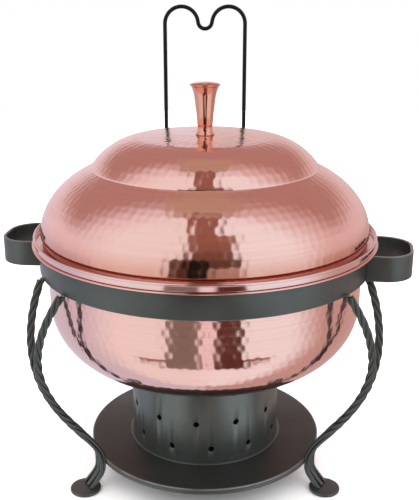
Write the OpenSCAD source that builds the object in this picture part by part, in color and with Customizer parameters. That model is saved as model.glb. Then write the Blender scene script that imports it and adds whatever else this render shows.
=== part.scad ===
// Soup kettle on a wrought stand, with a food pan, a domed lid, a lid holder
// and a fuel can in a perforated housing. The origin is on the floor, at the
// middle of the kettle's bounding box. +Z is up and the front faces -Y.

/* [Stand] */
// Height of the top edge of the band above the floor
stand_h = 250; // [230:5:310]
// Height of the flat bar that makes the band and the handles
bar_h = 25; // [20:1:32]
// Thickness of the flat bar
bar_t = 3; // [2.5:0.5:4]
// Gap between the bowl and the inside of the band
band_gap = 5; // [3:0.5:10]
// Depth of the weld between two pieces of the stand
weld = 0.4; // [0.2:0.1:0.6]

/* [Handles] */
// How far a handle stands out from the band
handle_reach = 40; // [32:1:52]
// Outside width of a handle
handle_w = 72; // [60:1:84]
// Outside corner radius of a handle
handle_corner = 28; // [12:1:34]
// Angle of the right handle from the X axis, towards the front
handle_right_turn = 11.5; // [0:0.5:14]
// Angle of the left handle from the X axis, towards the back
handle_left_turn = 5; // [0:1:14]

/* [Legs] */
// Diameter of one rod of a twisted rope
strand_d = 3.9; // [3.4:0.1:4.2]
// Length of one turn of a rope
twist_pitch = 35; // [32:1:50]
// Distance between the tops of the two ropes of a leg
rope_spread = 55; // [44:1:60]
// Space between the two ropes where they run side by side
rope_gap = 0.15; // [0.1:0.05:0.6]
// Outward pull on a leg below the band
leg_pull = 63; // [40:1:70]
// Downward reach of that pull
leg_drop = 105; // [90:1:110]
// Upward reach of the curve above the base plate
leg_rise = 31; // [20:1:40]
// Distance of a foot's centre beyond the edge of the base plate
foot_out = 19; // [17:1:28]
// Diameter of a foot disc
foot_d = 31; // [28:1:40]
// Thickness of a foot disc
foot_t = 3.5; // [3:0.5:6]

/* [Base] */
// Diameter of the base plate
plate_d = 244; // [200:1:260]
// Thickness of the base plate
plate_t = 2; // [1.5:0.5:3]
// Height of the top of the base plate above the floor
plate_h = 34; // [30:1:50]
// Diameter of the round bar of the ring under the plate
ring_rod_d = 5; // [4:0.5:6]
// Outside diameter of the burner housing
housing_d = 155; // [120:1:180]
// Wall thickness of the burner housing
housing_t = 1.5; // [1:0.5:2.5]
// Gap between the top edge of the burner housing and the kettle's bottom
housing_gap = 11.3; // [8:0.1:20]
// Diameter of an air hole
air_hole_d = 6; // [4:0.5:8]
// Number of air holes in a row
air_holes = 12; // [8:1:16]
// Place of the lower row of air holes in the height of the housing, from 0 to 1
air_row_low = 0.21; // [0.18:0.01:0.3]
// Place of the upper row of air holes in the height of the housing, from 0 to 1
air_row_high = 0.56; // [0.5:0.01:0.75]
// Turn of the lower row of air holes about the housing's axis
air_turn_low = 4.6; // [-15:0.1:15]
// Turn of the upper row of air holes about the housing's axis
air_turn_high = -6.5; // [-15:0.1:15]
// Width of the locating ring around the housing
seat_ring_w = 3.5; // [2:0.5:6]
// Thickness of the locating ring
seat_ring_t = 1.2; // [0.8:0.2:2]

/* [Kettle] */
// Diameter over the flange of the kettle
flange_d = 345; // [290:1:420]
// Width of the flange
flange_w = 14.5; // [14:0.5:20]
// Thickness of the kettle's sheet
kettle_t = 1.2; // [1:0.1:2]
// Depth of the kettle below its flange
kettle_depth = 127; // [110:1:145]
// Depth of the straight part of the kettle's wall
kettle_wall = 60; // [50:1:70]
// Radius of the flat middle of the kettle's bottom
kettle_flat = 88; // [70:1:100]
// Gap left between two pieces that rest on each other and lift off
seat_gap = 0.3; // [0.2:0.05:0.5]

/* [Food pan] */
// Thickness of the pan's sheet
pan_t = 1; // [0.8:0.1:1.5]
// Gap between the pan's wall and the kettle's wall
pan_gap = 2; // [1.5:0.5:5]
// Depth of the pan below its ledge
pan_depth = 92; // [80:1:100]
// Depth of the straight part of the pan's wall
pan_wall = 36; // [30:1:44]
// Radius of the flat middle of the pan's bottom
pan_flat = 92; // [80:1:100]
// Height of the pan's raised rim above its ledge
rim_h = 6; // [4:0.2:9]
// Distance of the pan's rim in from the edge of the flange
rim_inset = 2; // [1.5:0.5:6]
// Diameter of the bead along the pan's rim
rim_bead_d = 2.4; // [2:0.2:4]

/* [Lid] */
// Thickness of the lid's sheet
lid_t = 1; // [0.8:0.1:1.5]
// Gap between the lid and the inside of the pan's rim
lid_gap = 7; // [2.4:0.2:8]
// How far the lid bulges out over its lower edge
lid_bulge = 3; // [2:0.5:4]
// Height of the crease above the lid's lower edge
crease_h = 69; // [60:1:80]
// Radius of the crease between the two domes
crease_r = 113.5; // [100:0.5:125]
// Height of the upper dome above the crease
dome_h = 30; // [26:1:34]
// Slope of the upper dome where it leaves the crease
dome_slope = 58; // [50:1:65]
// Rise of the crown in the middle of the upper dome
crown_rise = 1.2; // [0.8:0.1:2]
// Diameter of the bead along the lid's lower edge
lid_bead_d = 2.4; // [2:0.2:3]

/* [Knob] */
// Height of the knob above its collar
knob_h = 41.5; // [34:0.5:50]
// Diameter of the knob's top
knob_top_d = 29.6; // [24:0.2:34]
// Diameter of the knob's neck
knob_neck_d = 15; // [12.8:0.2:16]
// Height of the knob's domed cap
knob_cap_h = 2.6; // [2:0.2:4]
// Height of the collar under the knob
collar_h = 9; // [7:0.5:12]
// Diameter of the collar's foot
collar_foot_d = 19; // [17:0.5:22]
// Diameter of the knob's screw
screw_d = 5; // [4:0.5:5.5]
// Diameter of the screw's head
screw_head_d = 9.5; // [9:0.5:11]
// Height of the screw's head
screw_head_h = 3; // [2:0.5:4]
// How far the screw reaches into the knob
screw_reach = 16; // [10:1:22]
// Outside diameter of the washer
washer_d = 15; // [12:0.5:18]
// Thickness of the washer
washer_t = 1.2; // [0.8:0.2:2]

/* [Lid holder] */
// Diameter of the holder's wire
wire_d = 4.5; // [4:0.5:6]
// Height of the top of the holder's wire above the band
holder_rise = 224; // [200:1:260]
// Distance between the holder's two legs
holder_w = 92; // [84:1:110]
// Bend radius of a hump, on the wire's middle
hump_r = 19; // [14:0.5:20]
// Bend radius of the notch, on the wire's middle
notch_r = 9; // [6:0.5:10]
// How far the bottom of the notch lies below the top of a hump
notch_drop = 24.5; // [24:0.5:34]
// Gap between the wire and the edge of the flange
wire_gap = 5; // [4.4:0.2:8]
// Running clearance of the wire in its socket, on the radius
socket_fit = 0.08; // [0.04:0.01:0.1]
// Wall of a socket
socket_wall = 2.2; // [2:0.2:3]
// Height of a socket
socket_h = 20; // [14:1:24]
// Thickness of a socket's floor
socket_floor = 3; // [2:0.5:5]

/* [Fuel can] */
// Diameter of the fuel can
can_d = 86; // [70:1:90]
// Gap for the flame between the can's lid and the kettle's bottom
flame_gap = 31.9; // [28:0.1:45]
// Sheet thickness of the fuel can
can_t = 0.6; // [0.4:0.1:1]
// Diameter of the mouth of the fuel can
can_mouth_d = 58; // [50:1:64]
// Height of the raised lip around the mouth
can_lip_h = 2; // [1.5:0.5:3]
// Thickness of the can's lid
can_lid_t = 0.8; // [0.6:0.1:1.2]
// Room left above the fuel in the can
gel_room = 10; // [5:1:30]

/* [Hidden] */
$fn = 96;

// Colours of the pieces
iron = [0.27, 0.28, 0.27];
black = [0.07, 0.07, 0.07];
copper = [0.84, 0.55, 0.48];
steel = [0.80, 0.78, 0.77];
tin = [0.72, 0.72, 0.70];

// Radii shared by the pieces
kettle_r = flange_d / 2 - flange_w;
band_in_r = kettle_r + band_gap;
band_out_r = band_in_r + bar_t;
band_low = stand_h - bar_h;
plate_r = plate_d / 2;
housing_r = housing_d / 2;
can_r = can_d / 2;

// Heights at which the lift-off pieces rest
flange_low = stand_h + seat_gap;
flange_top = flange_low + kettle_t;
ledge_low = flange_top + seat_gap;
ledge_top = ledge_low + pan_t;
lid_low = ledge_top + seat_gap;
kettle_low = flange_low - kettle_depth;
housing_h = kettle_low - housing_gap - plate_h;
can_low = plate_h + seat_gap;
can_h = kettle_low - flame_gap - can_lid_t - seat_gap - can_lip_h - can_low;
gel_h = can_h - gel_room;

// A cut runs past the faces that it opens by this much
past = 1;

// The twisted ropes: each leg is two ropes, and each rope is two rods
leg_step = 120;
leg_names = ["left", "right", "rear"];
leg_turns = [-90 - leg_step / 2, -90 + leg_step / 2, 90];
strand_r = strand_d / 2;
helix_r = strand_r + 0.2;
rope_r = helix_r + strand_r;
side_by_side = helix_r + strand_r + rope_gap / 2;
waist_r = plate_r + strand_r - weld;
waist_h = plate_h - plate_t;
join_h = waist_h + (band_low - waist_h) * 0.54;
straight_h = waist_h + (band_low - waist_h) * 0.12;
rope_top = band_low + weld;
leg_top = [band_out_r - bar_t / 2, rope_top];
leg_waist = [waist_r, waist_h];
leg_end = [plate_r + foot_out - strand_d, foot_t + strand_r / 3];
hook = waist_h * 0.45;
rod_sides = 8;
upper_rings = 54;
lower_rings = 9;

// The reach of the furthest rope decides how far the kettle's axis lies
// in front of the origin, which is the middle of the bounding box
function bezier(a, b, c, d, u) =
    pow(1 - u, 3) * a + 3 * u * pow(1 - u, 2) * b + 3 * u * u * (1 - u) * c + pow(u, 3) * d;
function leg_point(u) = u < 0 ? leg_top + u * [leg_pull, -leg_drop] : u < 1
    ? bezier(leg_top, leg_top + [leg_pull, -leg_drop], leg_waist + [0, leg_rise], leg_waist, u)
    : bezier(leg_waist, leg_waist - [0, hook], leg_end + [-hook, hook], leg_end, u - 1);
leg_params = concat([-rope_r / leg_drop], [for (i = [0 : upper_rings - 1]) i / upper_rings],
                    [for (i = [0 : lower_rings]) 1 + i / lower_rings]);
leg_reach = max([for (u = leg_params) leg_point(u)[0]]) + rope_r;
axis_y = (flange_d / 2 - leg_reach) / 2;

function smooth(x) = x * x * (3 - 2 * x);
function between(x, low, high) = max(0, min(1, (x - low) / (high - low)));
function unit(v) = v / norm(v);

// Centre line of one rope in its leg's own frame: X outward, Y sideways, Z up
function side_offset(z) =
    side_by_side + (rope_spread / 2 - side_by_side) * pow(between(z, join_h, band_low), 1.25);
function rope_point(u, side) =
    let (p = leg_point(u)) [p[0], side * side_offset(p[1]), p[1]];
function rope_line(side) = [for (u = leg_params) rope_point(u, side)];
function lengths(line, i = 0, sum = 0) = i >= len(line) ? [] :
    let (here = i == 0 ? 0 : sum + norm(line[i] - line[i - 1]))
    concat([here], lengths(line, i + 1, here));
function along(line, i) =
    unit(line[min(i + 1, len(line) - 1)] - line[max(i - 1, 0)]);

// The rods stop turning above the waist, where they lie in one flat row
function twist(rest) = let (ease = twist_pitch / 2, d = max(0, rest))
    360 / twist_pitch * (d < ease ? d * d / (2 * ease) : d - ease / 2);
function straight_at(line, runs) =
    max([for (i = [0 : len(line) - 1]) line[i][2] > straight_h ? runs[i] : 0]);

// A closed tube through rings that all have the same number of points
module tube(rings) {
    count = len(rings);
    sides = len(rings[0]);
    walls = [for (i = [0 : count - 2]) for (k = [0 : sides - 1])
        let (a = i * sides + k, b = i * sides + (k + 1) % sides)
        each [[a, b, a + sides], [b, b + sides, a + sides]]];
    start = [[for (k = [sides - 1 : -1 : 0]) k]];
    end = [[for (k = [0 : sides - 1]) (count - 1) * sides + k]];
    polyhedron([for (ring = rings) for (p = ring) p], concat(start, walls, end),
               convexity = 10);
}

module rod(line, runs, side, start) {
    stop = straight_at(line, runs);
    tube([for (i = [0 : len(line) - 1])
        let (t = along(line, i),
             b = unit([0, 1, 0] - t[1] * t),
             n = cross(b, t),
             a = start + side * twist(stop - runs[i]),
             c = line[i] + helix_r * (cos(a) * b + sin(a) * n))
        [for (k = [0 : rod_sides - 1])
            let (q = 360 * (k + 0.5) / rod_sides)
            c + strand_r * (cos(q) * b + sin(q) * n)]]);
}

module rope(leg, side) {
    line = rope_line(side);
    runs = lengths(line);
    color(iron) on_axis() difference() {
        rotate([0, 0, leg_turns[leg]])
            for (start = [0, 180]) rod(line, runs, side, start);
        translate([0, 0, rope_top]) cylinder(r = 2 * band_out_r, h = bar_h);
    }
}

// Everything stands around the kettle's axis
module on_axis() {
    translate([0, axis_y, 0]) children();
}

// Sheet metal: a line of points thickened to one side
function line_normal(line, i) =
    let (d = along(line, i)) [d[1], -d[0]];
function sheet(line, t) = concat(line,
    [for (i = [len(line) - 1 : -1 : 0]) line[i] + t * line_normal(line, i)]);

function arc(centre, r, from, to, steps) =
    [for (i = [0 : steps]) let (a = from + (to - from) * i / steps)
        centre + [r[0] * cos(a), r[1] * sin(a)]];

module ring_shape(outer_r, inner_r, low, high) {
    difference() {
        translate([0, 0, low]) cylinder(r = outer_r, h = high - low);
        translate([0, 0, low - past]) cylinder(r = inner_r, h = high - low + 2 * past);
    }
}

module torus(ring_r, rod_d, h) {
    translate([0, 0, h]) rotate_extrude() translate([ring_r, 0]) circle(d = rod_d);
}

module band_ring() {
    color(iron) on_axis() ring_shape(band_out_r, band_in_r, band_low, stand_h);
}

module round_rectangle(size, r) {
    for (x = [-1, 1], y = [-1, 1])
        translate([x * (size[0] / 2 - r), y * (size[1] / 2 - r)]) circle(r = r);
    square([size[0] - 2 * r, size[1]], center = true);
    square([size[0], size[1] - 2 * r], center = true);
}

module handle(turn) {
    inward = handle_w / 2;
    bend = min(handle_corner, inward - bar_t);
    length = handle_reach + inward;
    color(iron) on_axis() rotate([0, 0, turn]) difference() {
        translate([band_out_r + handle_reach - length / 2, 0, band_low])
            linear_extrude(bar_h) difference() {
                round_rectangle([length, handle_w], bend);
                round_rectangle([length - 2 * bar_t, handle_w - 2 * bar_t], bend - bar_t);
            }
        translate([0, 0, band_low - past]) cylinder(r = band_out_r, h = bar_h + 2 * past);
    }
}
module handle_left() { handle(180 - handle_left_turn); }
module handle_right() { handle(-handle_right_turn); }

module leg_left_rope_front() { rope(0, 1); }
module leg_left_rope_back() { rope(0, -1); }
module leg_right_rope_front() { rope(1, -1); }
module leg_right_rope_back() { rope(1, 1); }
module leg_rear_rope_left() { rope(2, 1); }
module leg_rear_rope_right() { rope(2, -1); }

module foot(leg) {
    edge = foot_t / 4;
    r = foot_d / 2;
    color(iron) on_axis() rotate([0, 0, leg_turns[leg]])
        translate([plate_r + foot_out, 0, 0]) rotate_extrude()
            polygon([[0, 0], [r - edge, 0], [r, edge], [r, foot_t - edge],
                     [r - edge, foot_t], [0, foot_t]]);
}
module foot_left() { foot(0); }
module foot_right() { foot(1); }
module foot_rear() { foot(2); }

module base_plate() {
    color(iron) on_axis() translate([0, 0, plate_h - plate_t])
        cylinder(r = plate_r, h = plate_t);
}

module base_ring() {
    color(iron) on_axis()
        torus(plate_r - ring_rod_d / 2, ring_rod_d, plate_h - plate_t - ring_rod_d / 2);
}

module burner_housing() {
    color(iron) on_axis() difference() {
        ring_shape(housing_r, housing_r - housing_t, plate_h, plate_h + housing_h);
        for (row = [[air_row_low, air_turn_low], [air_row_high, air_turn_high]],
             i = [0 : air_holes - 1])
            translate([0, 0, plate_h + housing_h * row[0]])
                rotate([0, 0, i * 360 / air_holes + row[1]])
                    translate([housing_r - housing_t - past, 0, 0]) rotate([0, 90, 0])
                        cylinder(d = air_hole_d, h = housing_t + 2 * past);
    }
}

module housing_seat_ring() {
    color(iron) on_axis()
        ring_shape(housing_r + seat_ring_w, housing_r, plate_h, plate_h + seat_ring_t);
}

// The lid holder's wire stands clear of the flange, in two sockets on the band
wire_r = wire_d / 2;
wire_line_r = flange_d / 2 + wire_gap + wire_r;
holder_x = holder_w / 2;
holder_y = sqrt(pow(wire_line_r, 2) - pow(holder_x, 2));
socket_r = wire_r + socket_fit + socket_wall;
socket_low = band_low + (bar_h - socket_h) / 2;
wire_low = socket_low + socket_floor;
hump = [holder_x - hump_r, stand_h + holder_rise - wire_r - hump_r];
notch_bend = min(notch_r, hump[0] - hump_r);
notch = [0, hump[1] + hump_r - notch_drop + notch_bend];
bend_span = norm(hump - notch);
bend_tilt = atan2(notch[1] - hump[1], hump[0] - notch[0]);
bend_turn = asin((hump_r + notch_bend) / bend_span);
flank_angle = 90 - bend_turn + bend_tilt;

module holder_socket(side) {
    color(black) on_axis() difference() {
        translate([side * holder_x, 0, socket_low]) {
            translate([0, holder_y, 0]) cylinder(r = socket_r, h = socket_h);
            translate([-wire_d / 2, holder_y - 2 * socket_r - bar_h / 2, 0])
                cube([wire_d, 2 * socket_r + bar_h / 2, socket_h]);
        }
        translate([0, 0, socket_low - past]) cylinder(r = band_out_r, h = socket_h + 2 * past);
        translate([side * holder_x, holder_y, wire_low])
            cylinder(r = wire_r + socket_fit, h = socket_h);
    }
}
module holder_socket_left() { holder_socket(-1); }
module holder_socket_right() { holder_socket(1); }

// The bends of the wire's left half, from the leg's top to the notch's bottom
bend_steps = 12;
wire_sides = 14;
wire_half = concat(
    [[-holder_x, hump[1] - wire_d]],
    arc([-hump[0], hump[1]], [hump_r, hump_r], 180, flank_angle, bend_steps),
    arc(notch, [notch_bend, notch_bend], 180 + flank_angle, 270, bend_steps));
wire_line = concat(wire_half,
    [for (i = [len(wire_half) - 2 : -1 : 0]) [-wire_half[i][0], wire_half[i][1]]]);

module holder_wire() {
    inner_r = wire_r - 0.02;
    color(black) on_axis() translate([0, holder_y, 0]) {
        for (side = [-1, 1]) translate([side * holder_x, 0, wire_low + seat_gap])
            cylinder(r = wire_r, h = hump[1] - wire_low - seat_gap);
        tube([for (i = [0 : len(wire_line) - 1])
            let (n = line_normal(wire_line, i), p = wire_line[i])
            [for (k = [0 : wire_sides - 1]) let (q = 360 * k / wire_sides)
                [p[0] + inner_r * cos(q) * n[0], -inner_r * sin(q),
                 p[1] + inner_r * cos(q) * n[1]]]]);
    }
}

module fuel_can() {
    lip_r = can_mouth_d / 2 + can_t;
    color(tin) on_axis() translate([0, 0, can_low]) rotate_extrude() polygon([
        [0, 0], [can_r, 0], [can_r, can_h], [lip_r, can_h], [lip_r, can_h + can_lip_h],
        [lip_r - can_t, can_h + can_lip_h], [lip_r - can_t, can_h - can_t],
        [can_r - can_t, can_h - can_t], [can_r - can_t, can_t], [0, can_t]]);
}

module fuel_gel() {
    color([0.75, 0.45, 0.75]) on_axis() translate([0, 0, can_low + can_t])
        cylinder(r = can_r - can_t, h = gel_h);
}

module fuel_can_lid() {
    lip_top = can_h + can_lip_h;
    plug_r = can_mouth_d / 2 - seat_gap;
    rim_r = can_mouth_d / 2 + can_t + can_lid_t;
    low = lip_top + seat_gap;
    color(tin) on_axis() translate([0, 0, can_low]) rotate_extrude() polygon([
        [0, low - can_lip_h], [plug_r, low - can_lip_h], [plug_r, low], [rim_r, low],
        [rim_r, low + can_lid_t], [plug_r - can_lid_t, low + can_lid_t],
        [plug_r - can_lid_t, low - can_lip_h + can_lid_t], [0, low - can_lip_h + can_lid_t]]);
}

// Bowls: an edge of flat sheet, a straight wall, then a quarter of an
// ellipse down to a flat middle
function bowl_line(r, wall, depth, flat, steps = 18) = concat(
    [[r, 0]],
    arc([flat, -wall], [r - flat, depth - wall], 0, -90, steps),
    [[0, -depth]]);
function bowl_sheet(edge, line, t, top) = concat(edge, line,
    [for (i = [len(line) - 1 : -1 : 1]) line[i] + t * line_normal(line, i)],
    [[line[0][0] - t, top]]);

module kettle_body() {
    line = bowl_line(kettle_r, kettle_wall, kettle_depth, kettle_flat);
    edge = [[flange_d / 2, kettle_t], [flange_d / 2, 0]];
    color(copper) on_axis() translate([0, 0, flange_low]) rotate_extrude()
        polygon(bowl_sheet(edge, line, kettle_t, kettle_t));
}

// The pan hangs in the kettle by the ledge of its rim, a flanged ring with a
// bead along its top, joined to the top edge of the bowl
pan_r = kettle_r - kettle_t - pan_gap;
rim_r = flange_d / 2 - rim_inset;
rim_bead_r = rim_bead_d / 2;
rim_in_r = rim_r - pan_t;
module food_pan() {
    line = bowl_line(pan_r, pan_wall, pan_depth, pan_flat);
    color(steel) on_axis() translate([0, 0, ledge_low]) rotate_extrude()
        polygon(bowl_sheet([], line, pan_t, 0));
}

module pan_rim() {
    inner_r = pan_r - pan_t;
    color(copper) on_axis() translate([0, 0, ledge_low]) {
        rotate_extrude() polygon([[inner_r, 0], [rim_r, 0], [rim_r, rim_h],
            [rim_in_r, rim_h], [rim_in_r, pan_t], [inner_r, pan_t]]);
        torus(rim_r - pan_t / 2, rim_bead_d, rim_h);
    }
}

// The lid: a bulging shoulder up to the crease, then the upper dome
lid_r = rim_in_r - (rim_bead_r - pan_t / 2) - lid_gap - lid_bead_d / 2;
lid_wide_r = lid_r + lid_bulge;
shoulder_c = [lid_wide_r * 0.37, lid_bead_d * 3];
shoulder_a = lid_wide_r - shoulder_c[0];
shoulder_end = acos((crease_r - shoulder_c[0]) / shoulder_a);
shoulder_b = (crease_h - shoulder_c[1]) / sin(shoulder_end);
dome_r = dome_h / (1 - cos(dome_slope));
dome_c = [crease_r - dome_r * sin(dome_slope), crease_h + dome_h - dome_r];
lid_top = crease_h + dome_h + crown_rise;
lid_hole_r = screw_d / 2 + 0.3;
crown_flat_r = washer_d / 2 + 1;
module lid_shell() {
    line = concat(
        [[lid_hole_r, lid_top], [crown_flat_r, lid_top]],
        [for (i = [1 : 5]) let (s = i / 6)
            [crown_flat_r + (dome_c[0] - crown_flat_r) * s, lid_top - crown_rise * s * s]],
        arc(dome_c, [dome_r, dome_r], 90, 90 - dome_slope, 12),
        [for (p = arc(shoulder_c, [shoulder_a, shoulder_b], shoulder_end, 0, 16))
            if (p[0] > crease_r + lid_t / 4) p],
        [[lid_r + lid_t / 2, lid_bead_d / 2]]);
    color(copper) on_axis() translate([0, 0, lid_low]) {
        rotate_extrude() polygon(sheet(line, lid_t));
        torus(lid_r, lid_bead_d, lid_bead_d / 2);
    }
}

collar_low = lid_low + lid_top;
knob_low = collar_low + collar_h;
module knob_collar() {
    neck = knob_neck_d / 2;
    waist = neck - 0.6;
    foot_r = collar_foot_d / 2;
    outer = [for (i = [0 : 12]) let (s = i / 12)
        [waist + (foot_r - waist) * pow(1 - s, 2.2) + (neck - waist) * pow(s, 3), collar_h * s]];
    color(copper) on_axis() translate([0, 0, collar_low]) rotate_extrude()
        polygon(concat([[lid_hole_r, 0]], outer, [[lid_hole_r, collar_h]]));
}

module knob() {
    neck = knob_neck_d / 2;
    top_r = knob_top_d / 2;
    flare_h = knob_h - knob_cap_h;
    taper = 3.4;
    lip = [for (i = [0 : 20]) let (s = i / 20)
        [neck + taper * s + (top_r - neck - taper) * pow(s, 6), flare_h * s]];
    cap = arc([0, flare_h], [top_r, knob_cap_h], 18, 90, 8);
    bore = screw_reach + past;
    hole = screw_d / 2 + 0.05;
    color(copper) on_axis() translate([0, 0, knob_low]) rotate_extrude()
        polygon(concat([[hole, 0]], lip, cap, [[0, bore], [hole, bore]]));
}

// The screw comes up from inside the lid, through the washer and the collar
washer_top = collar_low - lid_t;
module knob_screw() {
    head_low = washer_top - washer_t - screw_head_h;
    shank = knob_low + screw_reach - head_low;
    slot = screw_head_h / 3;
    color(steel) on_axis() translate([0, 0, head_low]) difference() {
        union() {
            cylinder(d = screw_head_d, h = screw_head_h);
            cylinder(d = screw_d, h = shank);
        }
        translate([-screw_head_d, -slot / 2, -past])
            cube([2 * screw_head_d, slot, slot + past]);
    }
}

module knob_washer() {
    color(steel) on_axis()
        ring_shape(washer_d / 2, lid_hole_r, washer_top - washer_t, washer_top);
}

band_ring();
handle_left();
handle_right();
leg_left_rope_front();
leg_left_rope_back();
leg_right_rope_front();
leg_right_rope_back();
leg_rear_rope_left();
leg_rear_rope_right();
foot_left();
foot_right();
foot_rear();
base_plate();
base_ring();
burner_housing();
housing_seat_ring();
holder_socket_left();
holder_socket_right();
holder_wire();
fuel_can();
fuel_gel();
fuel_can_lid();
kettle_body();
food_pan();
pan_rim();
lid_shell();
knob();
knob_collar();
knob_screw();
knob_washer();
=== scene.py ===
"""Soup kettle: the finished looks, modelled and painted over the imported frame.

A hammered copper kettle hangs by its flange in an iron stand with twisted legs. It
holds a steel food pan and a domed lid, over a burner housing with a fuel can, and a
bent wire behind it holds the lid while soup is served.
"""

import math
import random

import bpy
from bpy.props import FloatProperty, FloatVectorProperty, PointerProperty
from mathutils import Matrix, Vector, kdtree


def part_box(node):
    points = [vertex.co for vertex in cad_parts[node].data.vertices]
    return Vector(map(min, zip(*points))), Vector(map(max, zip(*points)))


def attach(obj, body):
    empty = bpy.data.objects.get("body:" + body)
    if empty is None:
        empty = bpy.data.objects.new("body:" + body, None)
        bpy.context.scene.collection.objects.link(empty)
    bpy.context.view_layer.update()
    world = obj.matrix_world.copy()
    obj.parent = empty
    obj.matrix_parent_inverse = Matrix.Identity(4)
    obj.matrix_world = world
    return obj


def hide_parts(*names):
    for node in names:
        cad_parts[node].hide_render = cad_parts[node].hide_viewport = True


bl_info = {
    "name": "Soup Kettle",
    "version": (1, 0, 0),
    "blender": (4, 5, 0),
    "location": "View3D > Sidebar > Kettle",
    "description": "Models and paints a hammered copper soup kettle on its iron stand",
    "category": "Object",
}

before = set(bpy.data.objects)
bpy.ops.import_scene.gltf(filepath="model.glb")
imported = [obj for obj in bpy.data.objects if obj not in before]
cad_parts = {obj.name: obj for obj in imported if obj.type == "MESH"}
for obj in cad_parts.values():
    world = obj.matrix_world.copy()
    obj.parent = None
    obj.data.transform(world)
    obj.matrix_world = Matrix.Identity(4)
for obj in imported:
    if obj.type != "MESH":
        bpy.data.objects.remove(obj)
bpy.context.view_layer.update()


def cad(node):
    """Middle, largest radius, lowest and highest point of a CAD node."""
    low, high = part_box(node)
    return (low + high) / 2, (high.x - low.x) / 2, low.z, high.z


PLATE_MIDDLE, PLATE_R, PLATE_LOW, PLATE_TOP = cad("base_plate")
AXIS_Y = PLATE_MIDDLE.y
_, BAND_R, BAND_LOW, BAND_TOP = cad("band_ring")
_, FLANGE_R, KETTLE_LOW, FLANGE_TOP = cad("kettle_body")
_, PAN_R, PAN_LOW, PAN_TOP = cad("food_pan")
_, RIM_R, RIM_LOW, RIM_TOP = cad("pan_rim")
_, LID_R, LID_LOW, LID_TOP = cad("lid_shell")
_, KNOB_R, KNOB_LOW, KNOB_TOP = cad("knob")
_, COLLAR_R, COLLAR_LOW, COLLAR_TOP = cad("knob_collar")
_, HOUSING_R, HOUSING_LOW, HOUSING_TOP = cad("burner_housing")
_, SEAT_R, _, SEAT_TOP = cad("housing_seat_ring")
_, FOOT_R, _, FOOT_TOP = cad("foot_left")
WIRE_MIDDLE, WIRE_HALF, WIRE_LOW, WIRE_TOP = cad("holder_wire")
_, _, SOCKET_LOW, SOCKET_TOP = cad("holder_socket_left")
LEG_TURNS = (("left", -150), ("right", -30), ("rear", 90))
FOOT_OUT = 0.019  # from the plate's edge to the middle of a foot
HAMMERED_STEPS, ROUND_STEPS = 600, 288  # faces round a turned piece
FOUR_RODS = 0.707  # from a rope's middle to its rods' middles, in rod diameters


# Sizes and colours that can be changed


def tint(name, description, default, brightest=1.0):
    """A setting that is a colour."""
    return FloatVectorProperty(name=name, description=description, subtype="COLOR", size=3,
                               min=0, max=brightest, default=default)


def measure(name, description, default, low, high, precision=4):
    """A setting that is a length between two limits."""
    return FloatProperty(name=name, description=description, default=default,
                         min=low, max=high, unit="LENGTH", precision=precision)


class KettleCopperSettings(bpy.types.PropertyGroup):
    """The hammered and polished copper of the lid, the kettle and the knob."""

    mark_pitch: measure("Mark pitch", "Distance between two hammer marks in a row",
                        0.0082, 0.005, 0.014)
    mark_row: measure("Row pitch", "Distance between two rows of hammer marks",
                      0.0074, 0.005, 0.014)
    mark_depth: measure("Mark depth", "Depth of a hammer mark",
                        0.00024, 0.0, 0.0006, 5)
    copper: tint("Copper", "Colour of the clean copper", (0.93, 0.59, 0.54))
    # The tarnish colour is also the colour of the painted shade at the low edges of the lid and
    # the kettle.
    tarnish_and_shade_colour: tint("Tarnish", "Colour of the copper where it has darkened", (0.70, 0.29, 0.21))
    polished: tint("Polished copper", "Colour of the knob and its collar", (0.80, 0.39, 0.29))
    rim: tint("Rim", "Colour of the pan's polished rim", (0.84, 0.61, 0.60))


class KettleMetalSettings(bpy.types.PropertyGroup):
    """The steel pan, the painted iron and the wire."""

    steel: tint("Steel", "Colour of the food pan", (0.80, 0.77, 0.77))
    iron: tint("Iron", "Colour of the coating on the stand", (0.106, 0.116, 0.110))
    worn_iron: tint("Worn iron", "Colour of the coating where edges have rubbed",
                    (0.26, 0.27, 0.26))
    wire: tint("Wire", "Colour of the coating on the lid holder", (0.007, 0.007, 0.007))
    tin: tint("Tin", "Colour of the fuel can", (0.62, 0.62, 0.60))
    gel: tint("Fuel", "Colour of the gelled fuel", (0.52, 0.16, 0.50))


class KettleStandSettings(bpy.types.PropertyGroup):
    """Sizes of the twisted legs and the flat bars."""

    rod: measure("Rod", "Diameter of one rod of a twisted rope",
                 0.0033, 0.0026, 0.0036)
    twist: measure("Twist", "Length of one full turn of a rope",
                   0.050, 0.03, 0.07)
    spread: measure("Spread", "Distance between the tops of a leg's two ropes",
                    0.055, 0.044, 0.06)
    bar: measure("Bar", "Thickness of the flat bar of the band and handles",
                 0.003, 0.0025, 0.004)
    right_turn: FloatProperty(
        name="Right handle", description="Turn of the right handle towards the front",
        default=math.radians(11.5), subtype="ANGLE")
    left_turn: FloatProperty(
        name="Left handle", description="Turn of the left handle towards the back",
        default=math.radians(5), subtype="ANGLE")


class KettleStageSettings(bpy.types.PropertyGroup):
    """Camera, floor and light."""

    distance: FloatProperty(
        name="Distance", description="Level distance from the kettle's axis to the camera",
        default=0.7777, unit="LENGTH")
    height: FloatProperty(
        name="Height", description="Height of the camera above the floor",
        default=0.4794, unit="LENGTH")
    tilt: FloatProperty(
        name="Tilt", description="Downward tilt of the camera",
        default=math.radians(17.453), subtype="ANGLE")
    lens: FloatProperty(
        name="Lens", description="Focal length for a 36 mm high picture",
        default=57.41, unit="CAMERA")
    walls: FloatProperty(
        name="Walls", description="Brightness of the white walls round the table", default=1.0)
    back: tint("Back", "Colour of the dim room behind the table", (0.48, 0.29, 0.26), 2)
    overhead: FloatProperty(
        name="Overhead", description="Strength of the soft light from above", default=4.6)


# Shader maths


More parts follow.
